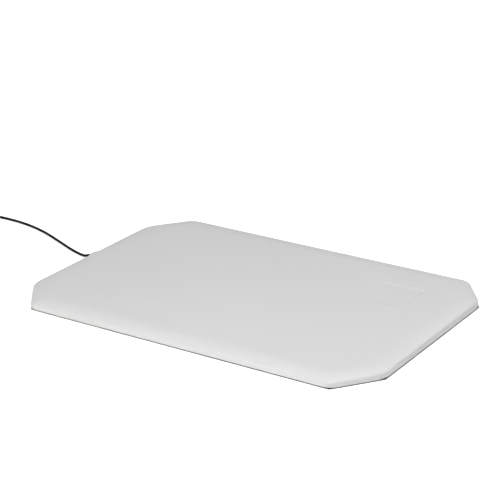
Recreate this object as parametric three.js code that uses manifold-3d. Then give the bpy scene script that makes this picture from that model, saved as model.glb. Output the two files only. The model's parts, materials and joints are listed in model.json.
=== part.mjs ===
// Low-profile pad antenna for a checkout counter: an eight-sided moulded tray with a captive coax lead.
// Units are millimetres, +Z is up, the origin is at the centre of the surface that the pad's feet stand on.
// +X runs along the pad to the end with the label recess, -X is the end where the lead comes out.
import * as THREE from 'three';
import { mergeVertices } from 'three/addons/utils/BufferGeometryUtils.js';
import Module from 'manifold-3d';

const wasm = await Module();
wasm.setup();

// ---------------------------------------------------------------- driving dimensions
const LENGTH = 420; // overall, along X
const WIDTH = 297; // overall, along Y
const CUT_X = 33.8; // corner chamfer, measured along X
const CUT_Y = 46.4; // corner chamfer, measured along Y
const R_LONG = 15.3; // rounding where a chamfer meets a long side
const R_SHORT = 29.6; // rounding where a chamfer meets a short side
const RIM_Z = 0.8; // underside of the rim
const TOP_Z = 9.2; // plateau
const WALL = 2.0; // skirt thickness
const ROOF = 1.9; // plateau thickness
const GAP = 0.3; // clearance between touching pieces
const BAND = 22; // width of the sloping band round the plateau

const HUMP_RISE = 1.7; // cable hump above the sloping band
const HUMP_HALF = 10; // half width of the hump along Y

const RECESS = { x0: 98, x1: 151.6, y0: 40, y1: 92.4, depth: 0.5, r: 2.5 };

const BASE_Z0 = 1.2; // base plate underside
const BASE_Z1 = 3.0; // base plate top
const BASE_INSET = WALL + GAP;

const FOOT_R = 8;
const FOOT_H = 1.7;
const FOOT_RECESS = 0.8;
const FEET = {
  foot_front_left: [-166, -112],
  foot_front_centre: [0, -128],
  foot_front_right: [166, -112],
  foot_back_left: [-166, 112],
  foot_back_centre: [0, 128],
  foot_back_right: [166, 112],
};

const SCREWS = [
  [-184, -88], [-70, -124], [70, -124], [184, -88],
  [184, 88], [70, 124], [-70, 124], [-184, 88],
];
const BOSS_R = 3.2;
const PILOT_R = 1.3;

const BOARD_INSET = 12;
const BOARD_Z0 = 4.2;
const BOARD_T = 1.0;
const TRACK_Z0 = BOARD_Z0 + BOARD_T + GAP;
const PART_Z0 = TRACK_Z0;

const CABLE_D = 2.8; // coax lead
const CABLE_Z = 4.1; // axis where it leaves the wall
const GROMMET_R = 2.6;

// Free lead, from the grommet to where it joins the coil.
const LEAD = [
  [-211.5, 0, 4.1], [-214.6, -0.5, 3.5], [-217.8, -0.6, 2.4], [-221.6, -0.1, 1.65], [-226.8, 1.2, 1.45],
  [-234.7, 4.3, 1.45], [-243.5, 8.2, 1.45], [-252.4, 12.4, 1.45], [-261.3, 16.7, 1.45], [-270.7, 21.2, 1.45],
  [-280, 25.5, 1.45], [-289, 29.6, 1.45], [-297.4, 33.2, 1.45], [-305.8, 36.4, 1.45], [-313.6, 39.1, 1.45],
  [-324, 42.2, 1.45], [-335, 44.8, 1.45], [-347, 46.7, 1.45], [-359, 47.7, 1.45], [-371, 47.8, 1.45],
  [-383, 47.1, 1.45], [-394.7, 45.85, 1.45],
];
const COIL = { x: -404, y: 22.8, r: 16.8, half: 6.35, h: 12.7 };
const TIE = { angle: 160, width: 2.6, inner: 11.3, t: 0.7 };
// Tail, from the coil to the plug's boot.
const TAIL = [
  [-410.4, -1.6, 11.0], [-406.2, -5.3, 10.5], [-401.2, -8.4, 9.6], [-395.6, -10.1, 8.3], [-391.6, -10.5, 7.6],
  [-388.4, -10.5, 7.3],
];
const PLUG = { x: -388.1, y: -10.5, z: 7.3 };

// ---------------------------------------------------------------- helpers
function plain(geometry) {
  const g = geometry.clone();
  for (const a of ['normal', 'uv']) if (g.attributes[a]) g.deleteAttribute(a);
  return mergeVertices(g, 1e-4);
}

function solid(geometry) {
  const g = plain(geometry);
  return new wasm.Manifold(new wasm.Mesh({
    numProp: 3,
    vertProperties: new Float32Array(g.attributes.position.array),
    triVerts: new Uint32Array(g.index.array),
  }));
}

function back(manifold) {
  const m = manifold.getMesh();
  const g = new THREE.BufferGeometry();
  g.setAttribute('position', new THREE.BufferAttribute(new Float32Array(m.vertProperties), 3));
  g.setIndex(Array.from(m.triVerts));
  g.computeVertexNormals();
  return g;
}

function moved(geometry, x, y, z) {
  return geometry.clone().translate(x, y, z);
}

// A box given by its two corners.
function block(x0, y0, z0, x1, y1, z1) {
  return new THREE.BoxGeometry(x1 - x0, y1 - y0, z1 - z0).translate((x0 + x1) / 2, (y0 + y1) / 2, (z0 + z1) / 2);
}

// A turned piece about +Z, from [radius, height] points that start and end on the axis or close on themselves.
function turned(profile, segments) {
  return new THREE.LatheGeometry(profile.map(([r, z]) => new THREE.Vector2(r, z)), segments).rotateX(Math.PI / 2);
}

function disc(r, z0, z1, segments) {
  return turned([[0, z0], [r, z0], [r, z1], [0, z1]], segments);
}

// A turned piece about +X.
function turnedX(profile, segments) {
  return turned(profile, segments).rotateY(Math.PI / 2);
}

// An outline in XY, extruded from z0 to z1.
function slab(points, z0, z1, holes = []) {
  const shape = new THREE.Shape(points.map(([x, y]) => new THREE.Vector2(x, y)));
  for (const h of holes) shape.holes.push(new THREE.Path(h.map(([x, y]) => new THREE.Vector2(x, y))));
  return new THREE.ExtrudeGeometry(shape, { depth: z1 - z0, bevelEnabled: false }).translate(0, 0, z0);
}

function circle(cx, cy, r, n) {
  return Array.from({ length: n }, (_, i) => {
    const a = (i + 0.5) * 2 * Math.PI / n;
    return [cx + r * Math.cos(a), cy + r * Math.sin(a)];
  });
}

function roundedRect(x0, y0, x1, y1, r, n) {
  const out = [];
  for (const [cx, cy, a0] of [[x1 - r, y1 - r, 0], [x0 + r, y1 - r, 90], [x0 + r, y0 + r, 180], [x1 - r, y0 + r, 270]])
    for (let i = 0; i <= n; i++) {
      const a = THREE.MathUtils.degToRad(a0 + 90 * i / n);
      out.push([cx + r * Math.cos(a), cy + r * Math.sin(a)]);
    }
  return out;
}

function tube(points, diameter, steps, sides = 8) {
  const section = new THREE.Shape(circle(0, 0, diameter / 2, sides).map(([x, y]) => new THREE.Vector2(x, y)));
  const path = new THREE.CatmullRomCurve3(points.map((p) => new THREE.Vector3(...p)), false, 'centripetal');
  return new THREE.ExtrudeGeometry(section, { steps, extrudePath: path, bevelEnabled: false });
}

// ---------------------------------------------------------------- the pad's outline
// The eight corners of the pad, moved inwards by inset, each rounded, counter-clockwise from the right end.
function corners(inset) {
  const hx = LENGTH / 2, hy = WIDTH / 2;
  const base = [
    [hx, -(hy - CUT_Y), R_SHORT], [hx, hy - CUT_Y, R_SHORT], [hx - CUT_X, hy, R_LONG], [-(hx - CUT_X), hy, R_LONG],
    [-hx, hy - CUT_Y, R_SHORT], [-hx, -(hy - CUT_Y), R_SHORT], [-(hx - CUT_X), -hy, R_LONG], [hx - CUT_X, -hy, R_LONG],
  ];
  const n = base.length;
  const line = (i) => {
    const a = base[i], b = base[(i + 1) % n];
    const dx = b[0] - a[0], dy = b[1] - a[1], l = Math.hypot(dx, dy);
    const nx = dy / l, ny = -dx / l; // outward normal of a counter-clockwise outline
    return { nx, ny, d: a[0] * nx + a[1] * ny - inset };
  };
  return base.map((c, i) => {
    const p = line((i + n - 1) % n), q = line(i);
    const det = p.nx * q.ny - p.ny * q.nx;
    return {
      x: (p.d * q.ny - q.d * p.ny) / det,
      y: (p.nx * q.d - q.nx * p.d) / det,
      r: Math.max(c[2] - inset, 6),
      a0: Math.atan2(p.ny, p.nx), a1: Math.atan2(q.ny, q.nx),
    };
  });
}

const HUMP_YS = [10, 7.5, 5, 2.5, 0, -2.5, -5, -7.5, -10];

function outline(inset, arc = 4, hump = false) {
  const pts = [];
  corners(inset).forEach((c, i) => {
    let turn = c.a1 - c.a0;
    while (turn < 0) turn += 2 * Math.PI;
    const mid = c.a0 + turn / 2, away = c.r / Math.cos(turn / 2);
    const cx = c.x - away * Math.cos(mid), cy = c.y - away * Math.sin(mid);
    for (let k = 0; k <= arc; k++) {
      const a = c.a0 + turn * k / arc;
      pts.push([cx + c.r * Math.cos(a), cy + c.r * Math.sin(a)]);
    }
    if (hump && i === 4) for (const y of HUMP_YS) pts.push([-(LENGTH / 2 - inset), y]);
  });
  return pts;
}

// Height of the sloping band at a distance u in from the outline.
function bandZ(u) {
  const t = Math.min(u / BAND, 1);
  return 6.2 + (TOP_Z - 6.2) * (1 - (1 - t) ** 2.3);
}

function humpZ(u, y, x) {
  if (x > 0 || Math.abs(y) >= HUMP_HALF) return 0;
  const t = Math.min(u / BAND, 1);
  return HUMP_RISE * Math.cos(Math.PI * y / (2 * HUMP_HALF)) ** 2 * (1 - t * t * (3 - 2 * t));
}

// A closed skin through rings of the outline; each ring is [inset, z, share of the hump].
function skin(rings, arc) {
  const rows = rings.map(([u, z, share]) => outline(u, arc, true).map(([x, y]) => [x, y, z + share * humpZ(u, y, x)]));
  const n = rows[0].length, pos = [], idx = [];
  for (const row of rows) for (const p of row) pos.push(...p);
  for (let k = 0; k + 1 < rows.length; k++)
    for (let i = 0; i < n; i++) {
      const a = k * n + i, b = k * n + (i + 1) % n, c = a + n, d = b + n;
      idx.push(a, b, d, a, d, c);
    }
  const lo = pos.length / 3;
  pos.push(0, 0, rows[0][0][2]);
  const hi = lo + 1;
  pos.push(0, 0, rows[rows.length - 1][0][2]);
  const last = (rows.length - 1) * n;
  for (let i = 0; i < n; i++) {
    idx.push(lo, (i + 1) % n, i);
    idx.push(hi, last + i, last + (i + 1) % n);
  }
  const g = new THREE.BufferGeometry();
  g.setAttribute('position', new THREE.Float32BufferAttribute(pos, 3));
  g.setIndex(idx);
  return g;
}

// ---------------------------------------------------------------- materials
const mat = (color, roughness, metalness = 0) => new THREE.MeshStandardMaterial({ color, roughness, metalness });
const PLASTIC = mat(0xdfe2e4, 0.42);
const BASE = mat(0xd3d6d8, 0.6);
const RUBBER = mat(0x26272a, 0.85);
const STEEL = mat(0xb8bcc0, 0.32, 1);
const LABEL = mat(0xe9e9e4, 0.6);
const FR4 = mat(0x2f5d3a, 0.5);
const COPPER = mat(0xc07a4a, 0.35, 1);
const CERAMIC = mat(0xb79b78, 0.6);
const FERRITE = mat(0x3a3a3d, 0.7);
const FOAM = mat(0x55585c, 0.95);
const JACKET = mat(0x17181a, 0.5);
const NYLON = mat(0x1d1e20, 0.45);
const NICKEL = mat(0xc9c7c0, 0.25, 1);
const GOLD = mat(0xd6b15e, 0.25, 1);
const PTFE = mat(0xf1f0ea, 0.5);

const pad = new THREE.Group();
function piece(name, geometry, material, parent = pad) {
  const mesh = new THREE.Mesh(geometry, material);
  mesh.name = name;
  parent.add(mesh);
  return mesh;
}

// ---------------------------------------------------------------- top cover
{
  const outer = skin([
    [0, RIM_Z, 0], [0, 5.0, 0.9], [0.25, 5.75, 1], [0.8, 6.3, 1], [1.7, bandZ(1.7) - 0.02, 1],
    [4, bandZ(4), 1], [7, bandZ(7), 1], [11, bandZ(11), 1], [16, bandZ(16), 1], [BAND, TOP_Z, 1],
  ], 4);
  const inner = skin([
    [WALL, -1, 0], [WALL, bandZ(WALL) - ROOF - 0.2, 1], [4, bandZ(4) - ROOF, 1], [7.5, bandZ(7.5) - ROOF, 1],
    [12, bandZ(12) - ROOF, 1], [BAND, TOP_Z - ROOF, 1],
  ], 4);
  let cover = solid(outer).subtract(solid(inner));
  cover = cover.subtract(solid(slab(roundedRect(RECESS.x0, RECESS.y0, RECESS.x1, RECESS.y1, RECESS.r, 3), TOP_Z - RECESS.depth, TOP_Z + 2)));
  // Bosses for the base screws, hanging from the roof.
  for (const [x, y] of SCREWS) {
    cover = cover.add(solid(moved(disc(BOSS_R, BASE_Z1 + GAP, TOP_Z - ROOF + 0.4, 12), x, y, 0)));
    cover = cover.subtract(solid(moved(disc(PILOT_R, 0, TOP_Z - ROOF - 0.6, 10), x, y, 0)));
  }
  // Slot for the lead's grommet, open at the bottom.
  const slotR = GROMMET_R + GAP;
  cover = cover.subtract(solid(block(-LENGTH / 2 - 2, -slotR, -2, -LENGTH / 2 + 3.5, slotR, CABLE_Z)));
  cover = cover.subtract(solid(turnedX([[0, -LENGTH / 2 - 2.01], [slotR, -LENGTH / 2 - 2.01], [slotR, -LENGTH / 2 + 3.51], [0, -LENGTH / 2 + 3.51]], 16).translate(0, 0, CABLE_Z)));
  piece('top_cover', back(cover), PLASTIC);
}

// ---------------------------------------------------------------- base plate
{
  let base = solid(slab(outline(BASE_INSET, 4), BASE_Z0, BASE_Z1));
  for (const [x, y] of Object.values(FEET))
    base = base.subtract(solid(moved(disc(FOOT_R + GAP, BASE_Z0 - 1, BASE_Z0 + FOOT_RECESS, 24), x, y, 0)));
  for (const [x, y] of SCREWS)
    base = base.subtract(solid(moved(turned([[0, BASE_Z0 - 0.5], [3.15, BASE_Z0 - 0.5], [2.65, BASE_Z0], [1.5, BASE_Z0 + 1.15], [1.5, BASE_Z1 + 1], [0, BASE_Z1 + 1]], 12), x, y, 0)));
  // Shallow seat for the rating label.
  base = base.subtract(solid(slab(roundedRect(-36.5, -24.5, 36.5, 24.5, 2, 3), BASE_Z0 - 1, BASE_Z0 + 0.5)));
  // Notch under the lead.
  base = base.subtract(solid(block(-LENGTH / 2 - 2, -3.2, BASE_Z0 - 1, -LENGTH / 2 + 12, 3.2, BASE_Z1 + 1)));
  piece('base_plate', back(base), BASE);
}

for (const [name, [x, y]] of Object.entries(FEET))
  piece(name, turned([[0, 0], [FOOT_R - 0.6, 0], [FOOT_R, 0.6], [FOOT_R, FOOT_H], [0, FOOT_H]], 24), RUBBER).position.set(x, y, 0);

SCREWS.forEach(([x, y], i) => {
  let s = solid(turned([[0, BASE_Z0 + 0.1], [2.25, BASE_Z0 + 0.1], [1.1, BASE_Z0 + 1.25], [0.95, BASE_Z0 + 1.4], [0.95, 6.2], [0, 6.2]], 12));
  s = s.subtract(solid(block(-1.2, -0.22, 0, 1.2, 0.22, BASE_Z0 + 0.75))).subtract(solid(block(-0.22, -1.2, 0, 0.22, 1.2, BASE_Z0 + 0.75)));
  piece(`base_screw_${i + 1}`, back(s), STEEL).position.set(x, y, 0);
});

piece('rating_label', slab(roundedRect(-36, -24, 36, 24, 1.8, 3), BASE_Z0 + 0.05, BASE_Z0 + 0.2), LABEL);

// ---------------------------------------------------------------- antenna
{
  let board = solid(slab(outline(BOARD_INSET, 2), BOARD_Z0, BOARD_Z0 + BOARD_T));
  for (const [x, y] of SCREWS)
    board = board.subtract(solid(moved(disc(BOSS_R + 0.5, BOARD_Z0 - 1, BOARD_Z0 + BOARD_T + 1, 12), x, y, 0)));
  // Notch for the lead and its clamp.
  board = board.subtract(solid(block(-LENGTH / 2, -12, 0, -189, 12, 8)));
  piece('antenna_board', back(board), FR4);
}

// A flat conductor that follows the outline between two insets, open by a feed gap at the lead's end.
function loop(insetOut, insetIn, gapHalf) {
  const out = corners(insetOut).map((c) => [c.x, c.y]), inn = corners(insetIn).map((c) => [c.x, c.y]);
  // The left side runs from corner 4 (back) to corner 5 (front); the strip starts and ends there.
  const order = [5, 6, 7, 0, 1, 2, 3, 4];
  const xo = -(LENGTH / 2 - insetOut), xi = -(LENGTH / 2 - insetIn);
  const ring = [[xo, -gapHalf], ...order.map((i) => out[i]), [xo, gapHalf], [xi, gapHalf], ...order.slice().reverse().map((i) => inn[i]), [xi, -gapHalf]];
  return slab(ring, TRACK_Z0, TRACK_Z0 + 0.25);
}
piece('loop_outer', loop(14, 19, 16), COPPER);
piece('loop_inner', loop(34, 38, 34), COPPER);

// Matching parts beside the lead's entry.
piece('series_capacitor', block(-185, -12.5, PART_Z0, -180.5, -9.3, PART_Z0 + 1.1), CERAMIC);
piece('parallel_capacitor_1', block(-185, -22.5, PART_Z0, -180.5, -19.3, PART_Z0 + 1.1), CERAMIC);
piece('parallel_capacitor_2', block(-185, -28.5, PART_Z0, -180.5, -25.3, PART_Z0 + 1.1), CERAMIC);
piece('damping_resistor', block(-184.6, 19, PART_Z0, -179.4, 28, PART_Z0 + 1.0), FERRITE);
piece('balun_core', turned([[2.1, PART_Z0], [4.6, PART_Z0], [4.6, PART_Z0 + 1.3], [2.1, PART_Z0 + 1.3], [2.1, PART_Z0]], 20), FERRITE).position.set(-165, 0, 0);
{
  let stator = solid(block(-3, -3, PART_Z0, 3, 3, PART_Z0 + 0.9));
  stator = stator.subtract(solid(disc(2.4, PART_Z0 + 0.35, PART_Z0 + 2, 20)));
  piece('trimmer_stator', back(stator), CERAMIC).position.set(-165, 20, 0);
  let rotor = solid(disc(2.0, PART_Z0 + 0.65, PART_Z0 + 1.45, 20));
  rotor = rotor.subtract(solid(block(-1.5, -0.3, PART_Z0 + 1.1, 1.5, 0.3, PART_Z0 + 3)));
  piece('trimmer_rotor', back(rotor), GOLD).position.set(-165, 20, 0);
}
for (const [name, x0, y0, x1, y1] of [
  ['foam_spacer_front', -110, -92, 110, -72], ['foam_spacer_back', -110, 72, 60, 92],
  ['foam_spacer_left', -140, -55, -120, 55], ['foam_spacer_right', 110, -60, 130, 30],
]) piece(name, slab(roundedRect(x0, y0, x1, y1, 3, 2), TRACK_Z0, TOP_Z - ROOF - GAP), FOAM);

// ---------------------------------------------------------------- lead, inside the pad
{
  const x0 = -LENGTH / 2 - 1.2, x1 = -LENGTH / 2 + 3.2, bore = CABLE_D / 2 + GAP;
  piece('lead_grommet', turnedX([[bore, x0], [GROMMET_R - 0.4, x0], [GROMMET_R, x0 + 0.4], [GROMMET_R, x1], [bore, x1], [bore, x0]], 16).translate(0, 0, CABLE_Z), RUBBER);
  piece('lead_inner', tube([[x0, 0, CABLE_Z], [-208.5, 0, CABLE_Z], [-206, 0, CABLE_Z + 0.1], [-201, 0, CABLE_Z + 0.8], [-197, 0, 5.05], [-189.6, 0, 5.05]], CABLE_D, 9), JACKET);
}
{
  // Saddle clamp: two flat feet and an arch over the lead.
  const r0 = CABLE_D / 2 + 0.2, r1 = r0 + 0.5, z = 5.05, foot0 = BASE_Z1 + GAP, foot1 = foot0 + 0.9;
  const pts = [[-8.5, foot0], [-r0, foot0]];
  for (let i = 0; i <= 8; i++) { const a = Math.PI - Math.PI * i / 8; pts.push([r0 * Math.cos(a), z + r0 * Math.sin(a)]); }
  pts.push([r0, foot0], [8.5, foot0], [8.5, foot1], [r1, foot1]);
  for (let i = 0; i <= 8; i++) { const a = Math.PI * i / 8; pts.push([r1 * Math.cos(a), z + r1 * Math.sin(a)]); }
  pts.push([-r1, foot1], [-8.5, foot1]);
  const shape = new THREE.Shape(pts.map(([x, y]) => new THREE.Vector2(x, y)));
  // Shape X becomes world Y and shape Y becomes world Z.
  const g = new THREE.ExtrudeGeometry(shape, { depth: 5, bevelEnabled: false }).rotateX(Math.PI / 2).rotateZ(Math.PI / 2).translate(-197, 0, 0);
  let clamp = solid(g);
  for (const y of [-5.6, 5.6]) clamp = clamp.subtract(solid(moved(disc(1.25, 0, 8, 10), -194.5, y, 0)));
  piece('lead_clamp', back(clamp), NYLON);
  for (const [name, y] of [['clamp_screw_1', -5.6], ['clamp_screw_2', 5.6]])
    piece(name, turned([[0, foot0 + 0.05], [0.95, foot0 + 0.05], [0.95, foot1 + GAP], [1.9, foot1 + GAP], [1.9, foot1 + GAP + 0.7], [1.3, foot1 + GAP + 1.05], [0, foot1 + GAP + 1.05]], 12), STEEL).position.set(-194.5, y, 0);
}

// ---------------------------------------------------------------- lead, outside the pad
piece('lead_free', tube(LEAD, CABLE_D, 34), JACKET);
{
  // The stored length: one ring with the outer shape of its turns, necked where the tie grips it.
  const h = COIL.half, z0 = 0, z1 = COIL.h, c = 2;
  const ring = turned([
    [COIL.r - h + c, z0], [COIL.r + h - c, z0], [COIL.r + h, z0 + c], [COIL.r + h, z1 - c],
    [COIL.r + h - c, z1], [COIL.r - h + c, z1], [COIL.r - h, z1 - c], [COIL.r - h, z0 + c], [COIL.r - h + c, z0],
  ], 36);
  const core = TIE.inner / 2 - GAP, reach = 9, mid = COIL.h / 2;
  // The collar that the tie takes away, made with its flat sides along the bundle.
  const collar = solid(block(COIL.r - reach, -TIE.width / 2 - GAP, -1, COIL.r + reach, TIE.width / 2 + GAP, COIL.h + 1))
    .subtract(solid(block(COIL.r - core, -TIE.width, mid - core, COIL.r + core, TIE.width, mid + core)));
  const angle = THREE.MathUtils.degToRad(TIE.angle);
  const turn = new THREE.Matrix4().makeRotationZ(angle);
  const collarWorld = solid(back(collar).applyMatrix4(turn));
  piece('lead_coil', back(solid(ring).subtract(collarWorld)), JACKET).position.set(COIL.x, COIL.y, 0);

  // The tie: a square loop round the bundle with its locking head on the outside.
  const a = TIE.inner / 2, b = a + TIE.t;
  let tie = solid(block(COIL.r - b, -TIE.width / 2, mid - b, COIL.r + b, TIE.width / 2, mid + b))
    .subtract(solid(block(COIL.r - a, -TIE.width, mid - a, COIL.r + a, TIE.width, mid + a)));
  tie = tie.add(solid(block(COIL.r + b - 0.2, -TIE.width / 2, mid - 2.4, COIL.r + b + 0.5, TIE.width / 2, mid + 2.4)));
  tie = tie.add(solid(block(COIL.r + b + 0.35, -2.1, mid - 2.4, COIL.r + b + 3.1, 2.1, mid + 2.4)));
  tie = tie.add(solid(block(COIL.r + b + 2.9, -1.1, mid - 0.5, COIL.r + b + 6.5, 1.1, mid + 0.5)));
  const t = piece('lead_tie', back(tie), NYLON);
  t.position.set(COIL.x, COIL.y, 0);
  t.rotation.z = angle;
}
piece('lead_tail', tube(TAIL, CABLE_D, 10), JACKET);

// ---------------------------------------------------------------- coax plug, axis along +X
{
  const plug = new THREE.Group();
  plug.position.set(PLUG.x, PLUG.y, PLUG.z);
  pad.add(plug);
  piece('plug_boot', turnedX([[0, 0], [2.0, 0], [2.3, 0.5], [3.2, 11], [3.2, 13], [0, 13]], 16), RUBBER, plug);
  piece('plug_ferrule', turnedX([[0, 13.3], [2.7, 13.3], [2.7, 18.5], [0, 18.5]], 16), NICKEL, plug);
  piece('plug_body', turnedX([
    [0, 18.8], [4.2, 18.8], [4.7, 19.3], [4.7, 24.2], [4.05, 24.2], [4.05, 36.6], [3.5, 36.6], [3.5, 27.5], [0, 27.5],
  ], 24), NICKEL, plug);
  piece('plug_insulator', turnedX([[0.95, 27.8], [2.6, 27.8], [2.6, 33], [0.95, 33], [0.95, 27.8]], 16), PTFE, plug);
  piece('plug_pin', turnedX([[0, 27.8], [0.65, 27.8], [0.65, 34.4], [0.35, 35.4], [0, 35.4]], 12), GOLD, plug);
  // Bayonet nut, free to turn on the body: two entry grooves inside its mouth end in round windows.
  let nut = solid(turnedX([
    [4.4, 24.6], [6.4, 24.6], [7.2, 25.4], [7.2, 33], [6.6, 33.4], [6.6, 37.6], [6.2, 38], [5.0, 38], [5.0, 27], [4.4, 27], [4.4, 24.6],
  ], 28));
  for (const s of [-1, 1]) {
    nut = nut.subtract(solid(block(30.5, -1.1, s > 0 ? 4.2 : -6.1, 39, 1.1, s > 0 ? 6.1 : -4.2)));
    nut = nut.subtract(solid(moved(disc(1.2, s > 0 ? 4 : -8, s > 0 ? 8 : -4, 10), 30.6, 0, 0)));
  }
  piece('plug_nut', back(nut), NICKEL, plug);
}

export default pad;
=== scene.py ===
import json
import math

import bmesh
import bpy
from mathutils import Matrix, Vector
from mathutils.geometry import tessellate_polygon


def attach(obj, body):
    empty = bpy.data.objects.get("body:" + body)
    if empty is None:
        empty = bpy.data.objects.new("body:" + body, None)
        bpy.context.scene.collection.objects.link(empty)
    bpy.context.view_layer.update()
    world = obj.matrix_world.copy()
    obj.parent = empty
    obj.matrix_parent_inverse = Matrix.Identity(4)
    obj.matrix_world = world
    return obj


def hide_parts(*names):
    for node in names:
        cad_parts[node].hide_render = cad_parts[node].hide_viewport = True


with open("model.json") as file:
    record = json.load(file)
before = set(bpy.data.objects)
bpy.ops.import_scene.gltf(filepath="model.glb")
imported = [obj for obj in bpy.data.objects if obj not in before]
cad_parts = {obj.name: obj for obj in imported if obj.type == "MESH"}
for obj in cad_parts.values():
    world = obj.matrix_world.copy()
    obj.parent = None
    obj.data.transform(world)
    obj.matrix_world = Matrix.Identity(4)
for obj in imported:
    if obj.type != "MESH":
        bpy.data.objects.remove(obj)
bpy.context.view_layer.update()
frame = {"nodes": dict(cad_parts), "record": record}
MM = 0.001
NODES = frame["nodes"]
scene = bpy.context.scene


def put(obj):
    scene.collection.objects.link(obj)
    return obj


# ------------------------------------------------------------------ camera
CAM = Vector((0.86865, -1.37923, 0.67980))
AZ, EL = math.radians(-32.3297), math.radians(21.0207)
look = Vector((math.cos(EL) * math.sin(AZ), math.cos(EL) * math.cos(AZ), -math.sin(EL)))
right = Vector((math.cos(AZ), -math.sin(AZ), 0.0))
up = right.cross(look)
cam_data = bpy.data.cameras.new("camera")
cam_data.sensor_width = 36.0
cam_data.sensor_fit = "HORIZONTAL"
cam_data.lens = 1693.78 / 500.0 * 36.0
cam_data.clip_start = 0.05
cam_data.clip_end = 60.0
camera = put(bpy.data.objects.new("camera", cam_data))
rot = Matrix((right, up, -look)).transposed()
camera.matrix_world = Matrix.Translation(CAM) @ rot.to_4x4()
scene.camera = camera

# ------------------------------------------------------------------ mesh helpers (millimetres in, metres out)


def mesh_object(name, verts, faces, smooth=True):
    me = bpy.data.meshes.new(name)
    me.from_pydata([(x * MM, y * MM, z * MM) for x, y, z in verts], [], faces)
    me.validate()
    bm = bmesh.new()
    bm.from_mesh(me)
    bmesh.ops.recalc_face_normals(bm, faces=bm.faces)
    bm.to_mesh(me)
    bm.free()
    for p in me.polygons:
        p.use_smooth = smooth
    return put(bpy.data.objects.new(name, me))


def sharpen(obj, degrees=35.0):
    """Marks edges sharper than the angle, then weights normals by face area so flats stay flat."""
    bm = bmesh.new()
    bm.from_mesh(obj.data)
    limit = math.radians(degrees)
    for e in bm.edges:
        e.smooth = not (len(e.link_faces) != 2 or e.calc_face_angle(0.0) > limit)
    bm.to_mesh(obj.data)
    bm.free()
    for p in obj.data.polygons:
        p.use_smooth = True
    m = obj.modifiers.new("weighted", "WEIGHTED_NORMAL")
    m.keep_sharp = True
    m.weight = 80
    return obj


def apply_modifiers(obj):
    bpy.context.view_layer.update()
    dg = bpy.context.evaluated_depsgraph_get()
    me = bpy.data.meshes.new_from_object(obj.evaluated_get(dg))
    old = obj.data
    obj.modifiers.clear()
    obj.data = me
    bpy.data.meshes.remove(old)
    return obj


def cut(obj, tool, op="DIFFERENCE"):
    m = obj.modifiers.new("cut", "BOOLEAN")
    m.operation = op
    m.object = tool
    m.solver = "EXACT"
    apply_modifiers(obj)
    bpy.data.objects.remove(tool)
    return obj


def turned(name, profile, segments=48, axis="Z", at=(0, 0, 0), wave=None):
    """A turned piece from [radius, height] points; the profile starts and ends on the axis or closes on itself."""
    closed = profile[0] == profile[-1]
    pts = profile[:-1] if closed else profile
    verts, rings = [], []
    for k, (r, z) in enumerate(pts):
        if r < 1e-6:
            rings.append([len(verts)])
            verts.append((0.0, 0.0, z))
        else:
            ring = []
            for i in range(segments):
                a = 2 * math.pi * i / segments
                rr = r + (wave(i, k, r, z) if wave else 0.0)
                ring.append(len(verts))
                verts.append((rr * math.cos(a), rr * math.sin(a), z))
            rings.append(ring)
    faces = []
    pairs = list(zip(rings, rings[1:])) + ([(rings[-1], rings[0])] if closed else [])
    for a, b in pairs:
        for i in range(segments):
            j = (i + 1) % segments
            if len(a) == 1 and len(b) == 1:
                continue
            if len(a) == 1:
                faces.append((a[0], b[i], b[j]))
            elif len(b) == 1:
                faces.append((a[i], b[0], a[j]))
            else:
                faces.append((a[i], b[i], b[j], a[j]))
    if axis == "X":
        verts = [(z, x, y) for x, y, z in verts]
    verts = [(x + at[0], y + at[1], z + at[2]) for x, y, z in verts]
    return mesh_object(name, verts, faces)


def prism(name, outline, z0, z1, at=(0, 0, 0)):
    n = len(outline)
    verts = [(x + at[0], y + at[1], z0 + at[2]) for x, y in outline] + [(x + at[0], y + at[1], z1 + at[2]) for x, y in outline]
    faces = [tuple(range(n - 1, -1, -1)), tuple(range(n, 2 * n))]
    faces += [(i, (i + 1) % n, n + (i + 1) % n, n + i) for i in range(n)]
    return mesh_object(name, verts, faces, smooth=False)


def block(name, lo, hi, bevel=0.0, segments=3):
    (x0, y0, z0), (x1, y1, z1) = lo, hi
    o = prism(name, [(x0, y0), (x1, y0), (x1, y1), (x0, y1)], z0, z1)
    if bevel:
        m = o.modifiers.new("bevel", "BEVEL")
        m.width = bevel * MM
        m.segments = segments
        m.limit_method = "ANGLE"
        apply_modifiers(o)
    return o


def rounded_rect(x0, y0, x1, y1, r, n=8):
    out = []
    for cx, cy, a0 in ((x1 - r, y1 - r, 0), (x0 + r, y1 - r, 90), (x0 + r, y0 + r, 180), (x1 - r, y0 + r, 270)):
        for i in range(n + 1):
            a = math.radians(a0 + 90 * i / n)
            out.append((cx + r * math.cos(a), cy + r * math.sin(a)))
    return out


# ------------------------------------------------------------------ materials
def principled(name):
    m = bpy.data.materials.new(name)
    m.use_nodes = True
    nt = m.node_tree
    return m, nt, nt.nodes["Principled BSDF"]


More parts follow.
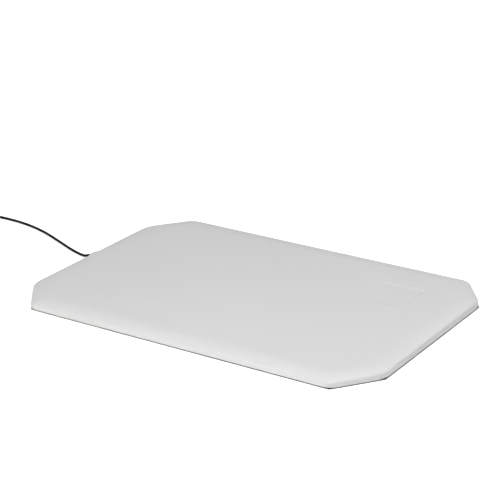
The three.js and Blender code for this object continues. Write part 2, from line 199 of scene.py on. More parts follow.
def grain(name, base, rough, metallic=0.0, ior=1.5, spec=0.5, scale=400.0, vary=0.03, rough_vary=0.05,
          bump=0.1, bump_scale=2500.0, bump_mm=0.02, second=None, coat=0.0, coat_rough=0.1, stretch=None, mottle=6.0):
    """A moulded, cast or drawn surface: broad mottling, fine grain, both in colour, roughness and bump."""
    m, nt, bsdf = principled(name)
    n, l = nt.nodes, nt.links
    bsdf.inputs["Metallic"].default_value = metallic
    bsdf.inputs["IOR"].default_value = ior
    bsdf.inputs["Specular IOR Level"].default_value = spec
    if coat:
        bsdf.inputs["Coat Weight"].default_value = coat
        bsdf.inputs["Coat Roughness"].default_value = coat_rough
    tc = n.new("ShaderNodeTexCoord")
    src = tc.outputs["Object"]
    if stretch:
        mp = n.new("ShaderNodeMapping")
        mp.inputs["Scale"].default_value = stretch
        l.new(src, mp.inputs["Vector"])
        src = mp.outputs["Vector"]

    def noise(s, detail, rough_n=0.55):
        x = n.new("ShaderNodeTexNoise")
        x.inputs["Scale"].default_value = s
        x.inputs["Detail"].default_value = detail
        x.inputs["Roughness"].default_value = rough_n
        l.new(src, x.inputs["Vector"])
        return x.outputs["Fac"]

    broad, fine = noise(mottle, 4.0), noise(scale, 3.0)
    mix = n.new("ShaderNodeMath")
    mix.operation = "MULTIPLY_ADD"
    l.new(fine, mix.inputs[0])
    mix.inputs[1].default_value = 0.4
    half = n.new("ShaderNodeMath")
    half.operation = "MULTIPLY"
    l.new(broad, half.inputs[0])
    half.inputs[1].default_value = 0.6
    l.new(half.outputs[0], mix.inputs[2])
    ramp = n.new("ShaderNodeValToRGB")
    lo = [max(0.0, c * (1 - vary)) for c in base]
    hi = [min(1.0, c * (1 + vary)) for c in (second or base)]
    ramp.color_ramp.elements[0].position = 0.3
    ramp.color_ramp.elements[0].color = (*lo, 1)
    ramp.color_ramp.elements[1].position = 0.7
    ramp.color_ramp.elements[1].color = (*hi, 1)
    l.new(mix.outputs[0], ramp.inputs["Fac"])
    l.new(ramp.outputs["Color"], bsdf.inputs["Base Color"])
    mr = n.new("ShaderNodeMapRange")
    mr.inputs["From Min"].default_value = 0.3
    mr.inputs["From Max"].default_value = 0.7
    mr.inputs["To Min"].default_value = max(0.02, rough - rough_vary)
    mr.inputs["To Max"].default_value = min(1.0, rough + rough_vary)
    l.new(mix.outputs[0], mr.inputs["Value"])
    l.new(mr.outputs["Result"], bsdf.inputs["Roughness"])
    if bump:
        b = n.new("ShaderNodeBump")
        b.inputs["Strength"].default_value = bump
        b.inputs["Distance"].default_value = bump_mm * MM
        l.new(noise(bump_scale, 2.0, 0.6), b.inputs["Height"])
        l.new(b.outputs["Normal"], bsdf.inputs["Normal"])
    return m


MATS = {
    "cover_plastic": grain("cover_plastic", (0.603, 0.604, 0.606), 0.42, vary=0.008, rough_vary=0.03, bump=0.12, bump_scale=1800, bump_mm=0.012, mottle=5.0),
    "base_plastic": grain("base_plastic", (0.50, 0.505, 0.51), 0.55, vary=0.02, rough_vary=0.05, bump=0.3, bump_scale=2600, bump_mm=0.02),
    "foot_rubber": grain("foot_rubber", (0.028, 0.028, 0.030), 0.75, vary=0.2, scale=900, bump=0.5, bump_scale=1800, bump_mm=0.05),
    "screw_steel": grain("screw_steel", (0.58, 0.58, 0.60), 0.3, metallic=1.0, vary=0.06, scale=1500, bump=0.15, bump_scale=3000),
    "label_film": grain("label_film", (0.70, 0.70, 0.67), 0.38, vary=0.015, scale=700, bump=0.08, bump_scale=900),
    "board_laminate": grain("board_laminate", (0.02, 0.10, 0.035), 0.4, vary=0.1, scale=900, bump=0.2, bump_scale=1500),
    "loop_copper": grain("loop_copper", (0.78, 0.38, 0.2), 0.32, metallic=1.0, vary=0.08, scale=500, bump=0.2),
    "part_ceramic": grain("part_ceramic", (0.45, 0.32, 0.2), 0.6, vary=0.12, scale=1500, bump=0.3),
    "part_ferrite": grain("part_ferrite", (0.05, 0.05, 0.055), 0.6, vary=0.15, scale=1500, bump=0.4),
    "spacer_foam": grain("spacer_foam", (0.1, 0.1, 0.11), 0.95, vary=0.25, scale=1200, bump=0.8, bump_scale=1400, bump_mm=0.2),
    "lead_jacket": grain("lead_jacket", (0.0022, 0.0022, 0.0024), 0.5, vary=0.15, scale=900, bump=0.2, bump_scale=2500, bump_mm=0.02, spec=0.14),
    "tie_nylon": grain("tie_nylon", (0.015, 0.015, 0.016), 0.38, vary=0.15, scale=900, bump=0.25, bump_scale=1800),
    "boot_rubber": grain("boot_rubber", (0.014, 0.014, 0.015), 0.6, vary=0.2, scale=900, bump=0.4, bump_scale=2200, bump_mm=0.03),
    "plug_nickel": grain("plug_nickel", (0.66, 0.63, 0.58), 0.2, metallic=1.0, vary=0.05, scale=700, bump=0.1, bump_scale=2500),
    "contact_gold": grain("contact_gold", (0.85, 0.6, 0.25), 0.22, metallic=1.0, vary=0.05, scale=900, bump=0.1),
    "plug_ptfe": grain("plug_ptfe", (0.78, 0.78, 0.74), 0.5, vary=0.03, scale=900, bump=0.15),
}
SLOT_OF = {s["node"]: s["material_slot"] for s in frame["record"]["subparts"]}
for node, obj in NODES.items():
    obj.data.materials.clear()
    obj.data.materials.append(MATS[SLOT_OF[node]])


def dress(obj, slot, body, *nodes):
    obj.data.materials.clear()
    obj.data.materials.append(MATS[slot])
    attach(obj, body)
    if nodes:
        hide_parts(*nodes)
    return obj


PAD = "pad"

# ------------------------------------------------------------------ the free lead
D = 2.8
LEAD = [
    (-211.3, 0, 4.1), (-214.6, -0.5, 3.5), (-217.8, -0.65, 2.4), (-221.6, -0.3, 1.65), (-226.8, 0.75, 1.45),
    (-234.7, 3.3, 1.45), (-243.5, 6.7, 1.45), (-252.4, 10.55, 1.45), (-261.3, 14.7, 1.45), (-270.7, 19.15, 1.45),
    (-280, 23.45, 1.45), (-289, 27.6, 1.45), (-297.4, 31.25, 1.45), (-305.8, 34.5, 1.45), (-313.6, 37.25, 1.45),
    (-324, 40.45, 1.45), (-335, 43.15, 1.45), (-347, 45.2, 1.45), (-359, 46.45, 1.45), (-371, 46.9, 1.45),
    (-383, 46.7, 1.45), (-394.7, 45.85, 1.45),
]
COIL_X, COIL_Y, COIL_R = -404.0, 22.8, 16.8
TIE_ANGLE = 160.0
PITCH, ACROSS, TIGHT = 3.3, 3.0, 2.83
ENTRY, LEAVE, TURNS = 97.0, 225.0, 15
TAIL = [
    (-410.4, -1.6, 11.0), (-406.2, -5.3, 10.5), (-401.2, -8.4, 9.6), (-395.6, -10.1, 8.3), (-391.6, -10.5, 7.6),
    (-388.15, -10.5, 7.3),
]


def strand(k):
    """Column and row offsets of turn k: rows run bottom to top, alternately inwards and outwards."""
    row, j = divmod(k, 4)
    col = 3 - j if row % 2 == 0 else j
    return col - 1.5, row - 1.5


def coil_points():
    pts = []
    total = TURNS * 360 + (LEAVE - ENTRY)
    steps = int(total / 10)
    for s in range(steps + 1):
        deg = total * s / steps
        k, part = int(deg // 360), (deg % 360) / 360
        k = min(k, 15)
        c0, r0 = strand(k)
        if k < 15 and part > 0.42:
            c1, r1 = strand(k + 1)
            t = (part - 0.42) / 0.58
            t = t * t * (3 - 2 * t)
            # a turn that climbs to the next row bows out past its neighbours
            bow = 0.38 * math.sin(math.pi * t) ** 2 * (math.copysign(1, c0) if r1 != r0 else 0.0)
            c0, r0 = c0 + (c1 - c0) * t + bow, r0 + (r1 - r0) * t
        a = ENTRY + deg
        off = abs((a - TIE_ANGLE + 180) % 360 - 180)
        w = 0.5 + 0.5 * math.cos(math.radians(min(off / 80.0, 1.0) * 180))
        r = COIL_R + c0 * (ACROSS + (TIGHT - ACROSS) * w)
        z = 1.45 + 1.5 * PITCH + r0 * (PITCH + (TIGHT - PITCH) * w)
        # a little slack, so the turns don't look machined
        wob = 0.12 * (1 - w) * math.sin(math.radians(a) * 2.0 + k * 1.9)
        pts.append((COIL_X + (r + wob) * math.cos(math.radians(a)), COIL_Y + (r + wob) * math.sin(math.radians(a)), z))
    return pts


def catmull(points, step=2.2):
    """Centripetal Catmull-Rom through the points, sampled about every step millimetres."""
    P = [Vector(p) for p in points]
    P = [P[0] * 2 - P[1]] + P + [P[-1] * 2 - P[-2]]
    out = []
    for i in range(1, len(P) - 2):
        p0, p1, p2, p3 = P[i - 1 : i + 3]
        t0 = 0.0
        t1 = t0 + max((p1 - p0).length, 1e-6) ** 0.5
        t2 = t1 + max((p2 - p1).length, 1e-6) ** 0.5
        t3 = t2 + max((p3 - p2).length, 1e-6) ** 0.5
        n = max(1, round((p2 - p1).length / step))
        for j in range(n):
            t = t1 + (t2 - t1) * j / n
            a1 = p0 * ((t1 - t) / (t1 - t0)) + p1 * ((t - t0) / (t1 - t0))
            a2 = p1 * ((t2 - t) / (t2 - t1)) + p2 * ((t - t1) / (t2 - t1))
            a3 = p2 * ((t3 - t) / (t3 - t2)) + p3 * ((t - t2) / (t3 - t2))
            b1 = a1 * ((t2 - t) / (t2 - t0)) + a2 * ((t - t0) / (t2 - t0))
            b2 = a2 * ((t3 - t) / (t3 - t1)) + a3 * ((t - t1) / (t3 - t1))
            out.append(b1 * ((t2 - t) / (t2 - t1)) + b2 * ((t - t1) / (t2 - t1)))
    out.append(P[-2])
    return [tuple(v) for v in out]


turns = coil_points()
ROUTE = catmull(LEAD + [turns[0]])[:-1] + turns + catmull([turns[-1]] + TAIL)[1:]


def tube_curve(name, points, diameter, resolution=5):
    cu = bpy.data.curves.new(name, "CURVE")
    cu.dimensions = "3D"
    sp = cu.splines.new("POLY")
    sp.points.add(len(points) - 1)
    for q, p in zip(sp.points, points):
        q.co = (p[0] * MM, p[1] * MM, p[2] * MM, 1.0)
    cu.bevel_depth = diameter / 2 * MM
    cu.bevel_resolution = resolution
    cu.use_fill_caps = True
    sp.use_smooth = True
    return put(bpy.data.objects.new(name, cu))


lead = tube_curve("lead_cord", ROUTE, D)
dress(lead, "lead_jacket", PAD, "lead_free", "lead_coil", "lead_tail")

# ------------------------------------------------------------------ what is on the lead
# Cable tie: a rounded strap round the gathered turns, with its locking head outside.
ta = math.radians(TIE_ANGLE)
MID, HALF, TT, TW = 6.35, 5.65, 0.68, 2.6


def tie():
    verts, faces = [], []
    inner = [(COIL_R + x, MID + z) for x, z in rounded_rect(-HALF, -HALF, HALF, HALF, 1.0, 6)]
    outer = [(COIL_R + x, MID + z) for x, z in rounded_rect(-HALF - TT, -HALF - TT, HALF + TT, HALF + TT, 1.6, 6)]
    n = len(inner)
    for ring, ys in ((outer, (-TW / 2, TW / 2)), (inner, (TW / 2, -TW / 2))):
        for y in ys:
            verts += [(x, y, z) for x, z in ring]
    for a in range(4):
        b = (a + 1) % 4
        for i in range(n):
            j = (i + 1) % n
            faces.append((a * n + i, a * n + j, b * n + j, b * n + i))
    return mesh_object("cable_tie", verts, faces)


strap = tie()
m = strap.modifiers.new("bevel", "BEVEL")
m.width, m.segments, m.limit_method = 0.18 * MM, 2, "ANGLE"
apply_modifiers(strap)
b = HALF + TT
head = block("tie_head", (COIL_R + b - 0.15, -2.1, MID - 2.4), (COIL_R + b + 3.0, 2.1, MID + 2.4), 0.5, 3)
cut(head, block("slot_tool", (COIL_R + b + 0.9, -1.4, MID - 4), (COIL_R + b + 1.9, 1.4, MID + 4)))
end = block("tie_end", (COIL_R + b + 0.95, -1.25, MID - 2.9), (COIL_R + b + 1.8, 1.25, MID + 4.6), 0.2, 2)
for o in (strap, head, end):
    o.data.transform(Matrix.Translation((COIL_X * MM, COIL_Y * MM, 0)) @ Matrix.Rotation(ta, 4, "Z"))
    sharpen(o)
dress(strap, "tie_nylon", PAD, "lead_tie")
dress(head, "tie_nylon", PAD)
dress(end, "tie_nylon", PAD)

# Coax plug on the end of the tail, its axis along +X.
PX, PY, PZ = -388.1, -10.5, 7.3


def on_plug(name, profile, segments, slot, node, body=PAD, wave=None):
    o = turned(name, profile, segments, "X", (PX, PY, PZ), wave)
    sharpen(o)
    return dress(o, slot, body, node)


boot_profile = [(0, 0), (1.75, 0), (2.0, 0.25), (2.05, 1.2)]
for i in range(4):  # flex ribs
    x, r = 1.6 + i * 2.0, 2.1 + i * 0.2
    boot_profile += [(r - 0.2, x), (r - 0.2, x + 0.7), (r + 0.12, x + 0.85), (r + 0.12, x + 1.75)]
boot_profile += [(2.95, 9.9), (3.15, 10.6), (3.2, 12.6), (3.0, 13.0), (0, 13.0)]
boot = on_plug("boot", boot_profile, 40, "boot_rubber", "plug_boot")
ferrule = on_plug(
    "crimp_ferrule", [(0, 13.3), (2.55, 13.3), (2.7, 13.45), (2.7, 14.4), (2.52, 14.7), (2.5, 17.2), (2.7, 17.5), (2.7, 18.3), (2.55, 18.5), (0, 18.5)],
    48, "plug_nickel", "plug_ferrule", wave=lambda i, k, r, z: -0.09 if 14.6 < z < 17.3 and (i // 4) % 2 else 0.0,
)
core = on_plug(
    "plug_shell", [(0, 18.8), (4.0, 18.8), (4.5, 19.05), (4.7, 19.4), (4.7, 20.9), (4.45, 21.1), (4.45, 21.8), (4.7, 22.0), (4.7, 24.0), (4.55, 24.2),
                   (4.05, 24.2), (4.05, 36.35), (3.9, 36.6), (3.62, 36.6), (3.5, 36.45), (3.5, 27.5), (0, 27.5)],
    56, "plug_nickel", "plug_body",
)
insulator = on_plug("insulator", [(0.95, 27.8), (2.6, 27.8), (2.6, 32.8), (2.4, 33.0), (1.05, 33.0), (0.95, 32.9), (0.95, 27.8)], 40, "plug_ptfe", "plug_insulator")
pin = on_plug("centre_pin", [(0, 27.8), (0.65, 27.8), (0.65, 34.2), (0.58, 34.8), (0.4, 35.2), (0.15, 35.4), (0, 35.4)], 24, "contact_gold", "plug_pin")


def knurl(i, k, r, z):
    return -0.16 if r > 7.1 and 26.2 < z < 32.2 and i % 3 == 0 else 0.0


nut = turned(
    "bayonet_nut", [(4.4, 24.6), (6.3, 24.6), (6.75, 24.75), (7.1, 25.2), (7.2, 25.8), (7.05, 26.0), (7.05, 26.25), (7.2, 26.4), (7.2, 31.9), (7.05, 32.05), (7.05, 32.4),
                    (7.15, 32.7), (6.95, 33.1), (6.6, 33.35), (6.6, 37.4), (6.45, 37.8), (6.2, 38.0), (5.25, 38.0), (5.0, 37.8), (5.0, 27.0), (4.4, 27.0), (4.4, 24.6)],
    96, "X", (PX, PY, PZ), knurl,
)
# Two bayonet tracks inside the mouth: an entry groove, a climbing run and a round window at its end.
for s in (-1, 1):
    tool = block("groove", (PX + 33.5, PY - 1.1, PZ + (4.2 if s > 0 else -6.1)), (PX + 39, PY + 1.1, PZ + (6.1 if s > 0 else -4.2)))
    cut(nut, tool)
    run = []
    for q in range(9):
        t = q / 8
        a = math.radians(90 * s + 78 * t)
        run.append((a, 34.6 - 3.6 * t))
    verts, faces = [], []
    for a, x in run:
        for dx, rr in ((-1.05, 4.4), (1.05, 4.4), (1.05, 6.05), (-1.05, 6.05)):
            verts.append((PX + x + dx, PY + rr * math.cos(a), PZ + rr * math.sin(a)))
    for q in range(8):
        for c in range(4):
            d = (c + 1) % 4
            faces.append((q * 4 + c, q * 4 + d, q * 4 + 4 + d, q * 4 + 4 + c))
    faces += [(3, 2, 1, 0), (32, 33, 34, 35)]
    cut(nut, mesh_object("track", verts, faces, False))
    a = math.radians(90 * s + 78)
    win = turned("window", [(0, 3.9), (1.25, 3.9), (1.25, 8.5), (0, 8.5)], 24)
    win.data.transform(Matrix.Translation(((PX + 31.0) * MM, PY * MM, PZ * MM)) @ Matrix.Rotation(a - math.pi / 2, 4, "X"))
    cut(nut, win)
sharpen(nut, 30)
dress(nut, "plug_nickel", "coupling_nut", "plug_nut")

# ------------------------------------------------------------------ the pad's outline
PAD_L, PAD_W, CUT_X, CUT_Y, R_LONG, R_SHORT = 420.0, 297.0, 33.8, 46.4, 15.3, 29.6
BAND, EDGE_Z, TOP_Z, RIM_Z = 22.0, 6.2, 9.2, 0.8
BASE_Z0, BASE_Z1 = 1.2, 3.0
HUMP_RISE, HUMP_HALF = 1.7, 10.0
WALL, ROOF = 2.0, 1.9


def corners(inset, least=6.0):
    hx, hy = PAD_L / 2, PAD_W / 2
    base = [
        (hx, -(hy - CUT_Y), R_SHORT), (hx, hy - CUT_Y, R_SHORT), (hx - CUT_X, hy, R_LONG), (-(hx - CUT_X), hy, R_LONG),
        (-hx, hy - CUT_Y, R_SHORT), (-hx, -(hy - CUT_Y), R_SHORT), (-(hx - CUT_X), -hy, R_LONG), (hx - CUT_X, -hy, R_LONG),
    ]
    n = len(base)
    lines = []
    for i in range(n):
        a, c = base[i], base[(i + 1) % n]
        dx, dy = c[0] - a[0], c[1] - a[1]
        ln = math.hypot(dx, dy)
        nx, ny = dy / ln, -dx / ln
        lines.append((nx, ny, a[0] * nx + a[1] * ny - inset))
    out = []
    for i in range(n):
        (px, py, pd), (qx, qy, qd) = lines[i - 1], lines[i]
        det = px * qy - py * qx
        out.append(((pd * qy - qd * py) / det, (px * qd - qx * pd) / det, max(base[i][2] - inset, least), math.atan2(py, px), math.atan2(qy, qx)))
    return out


def outline(inset, arc=14, ys=()):
    pts = []
    for i, (x, y, r, a0, a1) in enumerate(corners(inset)):
        turn = (a1 - a0) % (2 * math.pi)
        mid, away = a0 + turn / 2, r / math.cos(turn / 2)
        cx, cy = x - away * math.cos(mid), y - away * math.sin(mid)
        for k in range(arc + 1):
            a = a0 + turn * k / arc
            pts.append((cx + r * math.cos(a), cy + r * math.sin(a)))
        if i == 4:
            pts += [(-(PAD_L / 2 - inset), yy) for yy in ys]
    return pts


def band_z(u):
    t = min(u / BAND, 1.0)
    return EDGE_Z + (TOP_Z - EDGE_Z) * (1 - (1 - t) ** 2.3)


def hump_z(u, x, y):
    if x > 0 or abs(y) >= HUMP_HALF:
        return 0.0
    t = min(u / BAND, 1.0)
    return HUMP_RISE * math.cos(math.pi * y / (2 * HUMP_HALF)) ** 2 * (1 - t * t * (3 - 2 * t))


# ------------------------------------------------------------------ top cover
def bezier(p0, p1, p2, p3, n):
    out = []
    for i in range(n + 1):
        t = i / n
        c = ((1 - t) ** 3, 3 * t * (1 - t) ** 2, 3 * t * t * (1 - t), t ** 3)
        out.append(tuple(c[0] * a + c[1] * b_ + c[2] * c_ + c[3] * d for a, b_, c_, d in zip(p0, p1, p2, p3)))
    return out


def top_cover():
    ys = [HUMP_HALF - i * HUMP_HALF / 14 for i in range(29)]
    slope = (TOP_Z - EDGE_Z) * 2.3 / BAND
    rings = [(0.45, RIM_Z, 0), (0.16, RIM_Z + 0.08, 0), (0.0, RIM_Z + 0.35, 0), (0.0, 3.2, 0.5)]
    rings += [(u, z, 1) for u, z in bezier((0, 4.75), (0, 5.75), (1.15, band_z(2.3) - 1.15 * slope * 0.9), (2.3, band_z(2.3)), 9)]
    rings += [(u, band_z(u), 1) for u in (3.0, 3.8, 4.7, 5.7, 6.8, 8.0, 9.2, 10.5, 11.8, 13.2, 14.6, 16.0, 17.4, 18.8, 20.4)]
    rings += [(BAND, TOP_Z, 1)]
    # inside, from the rim up to the ceiling
    inner = [(WALL - 0.2, RIM_Z, 0), (WALL, RIM_Z + 0.2, 0), (WALL, 3.0, 0.5)]
    inner += [(WALL, band_z(WALL) - ROOF - 0.2, 1), (4, band_z(4) - ROOF, 1), (7.5, band_z(7.5) - ROOF, 1), (12, band_z(12) - ROOF, 1), (BAND, TOP_Z - ROOF, 1)]
    verts, faces = [], []

    def add_ring(u, z, share):
        row = outline(u, 14, ys)
        start = len(verts)
        verts.extend((x, y, z + share * hump_z(u, x, y)) for x, y in row)
        return list(range(start, start + len(row)))

    def bridge(a, c):
        n = len(a)
        for i in range(n):
            j = (i + 1) % n
            faces.append((a[i], a[j], c[j], c[i]))

    outer_rows = [add_ring(*r) for r in rings]
    for a, c in zip(outer_rows, outer_rows[1:]):
        bridge(a, c)
    inner_rows = [add_ring(*r) for r in inner]
    bridge(inner_rows[0], outer_rows[0])
    for a, c in zip(inner_rows, inner_rows[1:]):
        bridge(c, a)
    faces.append(tuple(inner_rows[-1]))
    # plateau with its label recess, 0.5 mm deep, each side a soft ramp of its own width (outside, inside)
    X0, X1, Y0, Y1, R, DEEP = 98.0, 151.6, 40.0, 92.4, 2.5, 0.5
    BACK, FRONT, RIGHT, LEFT = (2.2, 3.2), (1.2, 1.6), (0.9, 1.2), (3.0, 5.0)
    rec = []
    for k in range(11):
        t = k / 10
        dz = -DEEP * t * t * (3 - 2 * t)
        gb, gf, gr, gl = (o_ - (o_ + i_) * t for o_, i_ in (BACK, FRONT, RIGHT, LEFT))
        row = rounded_rect(X0 - gl, Y0 - gf, X1 + gr, Y1 + gb, max(R + min(gb, gf, gr, gl), 0.8), 8)
        start = len(verts)
        verts.extend((x, y, TOP_Z + dz) for x, y in row)
        rec.append(list(range(start, start + len(row))))
    for a, c in zip(rec, rec[1:]):
        bridge(a, c)
    faces.append(tuple(rec[-1]))
    loops = [[Vector(verts[i]) for i in outer_rows[-1]], [Vector(verts[i]) for i in rec[0]]]
    flat = outer_rows[-1] + rec[0]
    for t in tessellate_polygon(loops):
        faces.append(tuple(flat[i] for i in t))
    o = mesh_object("cover", verts, faces)
    # grommet slot in the wall under the hump
    r = 2.9
    slot = [(-r, -4.0), (r, -4.0), (r, 4.1)] + [(r * math.cos(math.radians(a)), 4.1 + r * math.sin(math.radians(a))) for a in range(15, 180, 15)] + [(-r, 4.1)]
    n = len(slot)
    v = [(-212.5, y, z) for y, z in slot] + [(-206.5, y, z) for y, z in slot]
    f = [tuple(range(n)), tuple(range(2 * n - 1, n - 1, -1))] + [(i, n + i, n + (i + 1) % n, (i + 1) % n) for i in range(n)]
    cut(o, mesh_object("slot_tool", v, f, False))
    return sharpen(o, 32)


cover = dress(top_cover(), "cover_plastic", PAD, "top_cover")

# ------------------------------------------------------------------ base plate, feet, screws, label
SCREWS = [(-184, -88), (-70, -124), (70, -124), (184, -88), (184, 88), (70, 124), (-70, 124), (-184, 88)]
FEET = {
    "foot_front_left": (-166, -112), "foot_front_centre": (0, -128), "foot_front_right": (166, -112),
    "foot_back_left": (-166, 112), "foot_back_centre": (0, 128), "foot_back_right": (166, 112),
}


def base_plate():
    o = prism("base", outline(2.3, 14), BASE_Z0, BASE_Z1)
    for x, y in FEET.values():
        cut(o, turned("tool", [(0, 0.2), (8.3, 0.2), (8.3, BASE_Z0 + 0.8), (0, BASE_Z0 + 0.8)], 64, "Z", (x, y, 0)))
    for x, y in SCREWS:
        cut(o, turned("tool", [(0, BASE_Z0 - 0.5), (3.15, BASE_Z0 - 0.5), (2.65, BASE_Z0), (1.5, BASE_Z0 + 1.15), (1.5, 4.0), (0, 4.0)], 40, "Z", (x, y, 0)))
    cut(o, prism("tool", rounded_rect(-36.5, -24.5, 36.5, 24.5, 2.0), 0.2, BASE_Z0 + 0.5))
    cut(o, block("tool", (-212, -3.2, 0.2), (-198, 3.2, 4.0)))
    m = o.modifiers.new("bevel", "BEVEL")
    m.width, m.segments, m.limit_method, m.angle_limit = 0.12 * MM, 2, "ANGLE", math.radians(50)
    apply_modifiers(o)
    return sharpen(o, 32)


dress(base_plate(), "base_plastic", PAD, "base_plate")

for name, (x, y) in FEET.items():
    prof = [(0, 0.12), (4.6, 0.12), (5.4, 0.0), (6.9, 0.0), (7.35, 0.1), (7.7, 0.35), (7.95, 0.7), (8.0, 1.0), (8.0, 1.55), (7.85, 1.7), (0, 1.7)]
    o = sharpen(turned(name.replace("foot", "pad_foot"), prof, 64, "Z", (x, y, 0)), 40)
    dress(o, "foot_rubber", PAD, name)

for i, (x, y) in enumerate(SCREWS, 1):
    prof = [(0, 1.3), (2.05, 1.3), (2.2, 1.35), (2.25, 1.45), (1.15, 2.5), (0.95, 2.7)]
    z = 2.7
    while z < 6.0:  # thread
        prof += [(0.78, z + 0.1), (0.95, z + 0.3)]
        z += 0.4
    prof += [(0.5, 6.1), (0, 6.2)]
    o = turned("screw_%d" % i, prof, 32, "Z", (0, 0, 0))
    for turn in (0, 90):
        t = block("tool", (-1.25, -0.24, 0.5), (1.25, 0.24, 2.15))
        for v in t.data.vertices:  # tapered wings
            if v.co.z > 1.5 * MM:
                v.co.x *= 0.55
                v.co.y *= 0.7
        t.data.transform(Matrix.Rotation(math.radians(turn), 4, "Z"))
        cut(o, t)
    o.data.transform(Matrix.Translation((x * MM, y * MM, 0)) @ Matrix.Rotation(math.radians(17 + 41 * i), 4, "Z"))
    sharpen(o, 30)
    dress(o, "screw_steel", PAD, "base_screw_%d" % i)

label = prism("blank_label", rounded_rect(-36, -24, 36, 24, 1.8), 1.25, 1.4)
sharpen(label, 30)
dress(label, "label_film", PAD, "rating_label")

grom = turned("grommet", [(1.55, -211.2), (1.75, -211.35 + 0.15), (2.3, -211.2), (2.5, -211.1), (2.6, -210.85), (2.6, -206.8), (1.7, -206.8), (1.5, -207.2), (1.5, -210.9), (1.55, -211.2)], 40, "X", (0, 0, 4.1))
dress(sharpen(grom, 35), "foot_rubber", PAD, "lead_grommet")

# ------------------------------------------------------------------ floor and light
floor_mat, nt, bsdf = principled("floor")
bsdf.inputs["Base Color"].default_value = (0.92, 0.92, 0.92, 1)
bsdf.inputs["Roughness"].default_value = 0.9
bsdf.inputs["Specular IOR Level"].default_value = 0.1
bsdf.inputs["Emission Color"].default_value = (1.0, 1.0, 1.0, 1)


def math_node(tree, op, a, b_=None, c=None):
    x = tree.nodes.new("ShaderNodeMath")
    x.operation = op
    for i, v in enumerate((a, b_, c)):
        if v is None:
            continue
        if isinstance(v, (int, float)):
            x.inputs[i].default_value = v
        else:
            tree.links.new(v, x.inputs[i])
    return x.outputs[0]


# A bright sweep: the floor glows a little, but not under the pad's rim, so the gap there shows a painted shade line.
tc = nt.nodes.new("ShaderNodeTexCoord")
sep = nt.nodes.new("ShaderNodeSeparateXYZ")
nt.links.new(tc.outputs["Object"], sep.inputs[0])
ax, ay = (math_node(nt, "ABSOLUTE", sep.outputs[i]) for i in (0, 1))
nrm = math.hypot(CUT_Y, CUT_X)
side = math_node(nt, "SUBTRACT", ax, PAD_L / 2 * MM)
end_ = math_node(nt, "SUBTRACT", ay, PAD_W / 2 * MM)
diag = math_node(nt, "ADD", math_node(nt, "MULTIPLY", ax, CUT_Y / nrm), math_node(nt, "MULTIPLY", ay, CUT_X / nrm))
diag = math_node(nt, "SUBTRACT", diag, (PAD_L / 2 * CUT_Y + (PAD_W / 2 - CUT_Y) * CUT_X) / nrm * MM)
away = math_node(nt, "MAXIMUM", math_node(nt, "MAXIMUM", side, end_), diag)
glow = nt.nodes.new("ShaderNodeMapRange")
glow.interpolation_type = "SMOOTHSTEP"
glow.inputs["From Min"].default_value = 0.0
glow.inputs["From Max"].default_value = 0.0015
glow.inputs["To Min"].default_value = 0.0
glow.inputs["To Max"].default_value = 0.3
nt.links.new(away, glow.inputs["Value"])
far = nt.nodes.new("ShaderNodeMapRange")  # the sweep stays bright behind, where the lamps reach it less
for name, v in (("From Min", 0.5), ("From Max", 2.0), ("To Min", 0.0), ("To Max", 0.75)):
    far.inputs[name].default_value = v
nt.links.new(away, far.inputs["Value"])
total = math_node(nt, "ADD", glow.outputs["Result"], far.outputs["Result"])
nt.links.new(total, bsdf.inputs["Emission Strength"])
# Painted shade: inside the pad's footprint the floor's colour is darkened from 0.92, so the gap under the rim reads as
# a shadow line.
painted_rim_shade = nt.nodes.new("ShaderNodeMapRange")
painted_rim_shade.interpolation_type = "SMOOTHSTEP"
painted_rim_shade.inputs["From Min"].default_value = -0.0006
painted_rim_shade.inputs["From Max"].default_value = 0.0004
painted_rim_shade.inputs["To Max"].default_value = 0.92
# Painted shade tone: the floor under the rim is painted darker toward the right end.
painted_rim_shade_tone = nt.nodes.new("ShaderNodeMapRange")  # darker toward the right end, away from the low front light
for name, v in (("From Min", -0.21), ("From Max", 0.08), ("To Min", 0.5), ("To Max", 0.12)):
    painted_rim_shade_tone.inputs[name].default_value = v
nt.links.new(sep.outputs[0], painted_rim_shade_tone.inputs["Value"])
nt.links.new(painted_rim_shade_tone.outputs["Result"], painted_rim_shade.inputs["To Min"])
nt.links.new(away, painted_rim_shade.inputs["Value"])
nt.links.new(painted_rim_shade.outputs["Result"], bsdf.inputs["Base Color"])
me = bpy.data.meshes.new("floor")
me.from_pydata([(-30, -30, 0), (30, -30, 0), (30, 30, 0), (-30, 30, 0)], [], [(0, 1, 2, 3)])
floor = put(bpy.data.objects.new("floor", me))
me.materials.append(floor_mat)

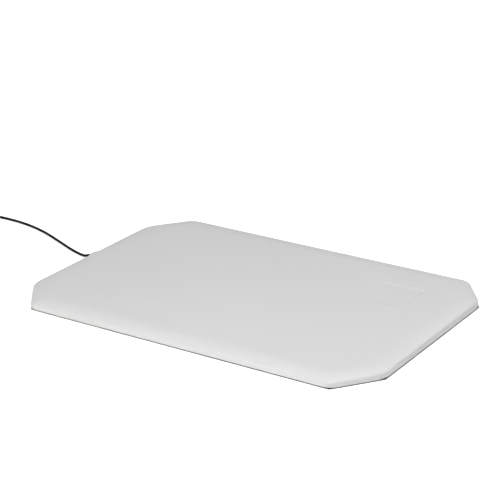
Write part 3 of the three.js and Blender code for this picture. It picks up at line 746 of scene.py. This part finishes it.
world = bpy.data.worlds.new("world")
scene.world = world
world.use_nodes = True
bg = world.node_tree.nodes["Background"]
bg.inputs["Color"].default_value = (1.0, 1.0, 1.0, 1)
bg.inputs["Strength"].default_value = 0.02


def area(name, at, target, size, power, color=(1, 1, 1)):
    d = bpy.data.lights.new(name, "AREA")
    d.shape = "RECTANGLE"
    d.size, d.size_y = size
    d.energy = power
    d.color = color
    o = put(bpy.data.objects.new(name, d))
    o.location = at
    o.rotation_euler = (Vector(target) - Vector(at)).to_track_quat("-Z", "Y").to_euler()
    o.visible_camera = False
    return o


# Large soft boxes, 1.1 m square, 2.2 m from the pad's middle: degrees round from the front towards the right,
# degrees up, watts.
FAR_BOXES = (
    (0, 25, 2.2), (0, 50, 12.0), (0, 78, 9.0), (45, 50, 0.8), (20, 15, 6.0), (135, 50, 0.7), (180, 25, 3.2),
    (180, 50, 7.2), (180, 78, 6.0), (-135, 50, 3.2), (-45, 12, 6.2), (-45, 25, 1.0),
)
# Small ones hung 0.9 m over the counter: x, y, watts.
NEAR_BOXES = ((0.3, -0.4, 3.0), (0.2, 0.1, 1.2), (0.0, -0.9, 0.6), (0.0, -0.4, 0.3))
WARM, PLAIN, COOL = (1.0, 0.975, 0.86), (1.0, 1.0, 1.0), (0.965, 0.972, 1.0)
for n_, (round_, up_, watts) in enumerate(FAR_BOXES, 1):
    a_, e_ = math.radians(round_), math.radians(up_)
    at = (2.2 * math.sin(a_) * math.cos(e_), -2.2 * math.cos(a_) * math.cos(e_), 2.2 * math.sin(e_))
    tint = WARM if up_ < 30 and abs(round_) < 90 else COOL if round_ == 45 else PLAIN
    area("far_box_%d" % n_, at, (0, 0, 0), (1.1, 1.1), watts, tint)
for n_, (x_, y_, watts) in enumerate(NEAR_BOXES, 1):
    area("near_box_%d" % n_, (x_, y_, 0.9), (0, 0, 0), (0.5, 0.5), watts, COOL)
# One under the counter, for looks at the underside with the counter taken away.
area("under_box", (0.2, -0.3, -1.4), (0, 0, 0), (1.6, 1.6), 22.0, PLAIN)

scene.view_settings.view_transform = "Standard"
scene.view_settings.look = "None"
scene.view_settings.exposure = 0.0
scene.view_settings.gamma = 1.0
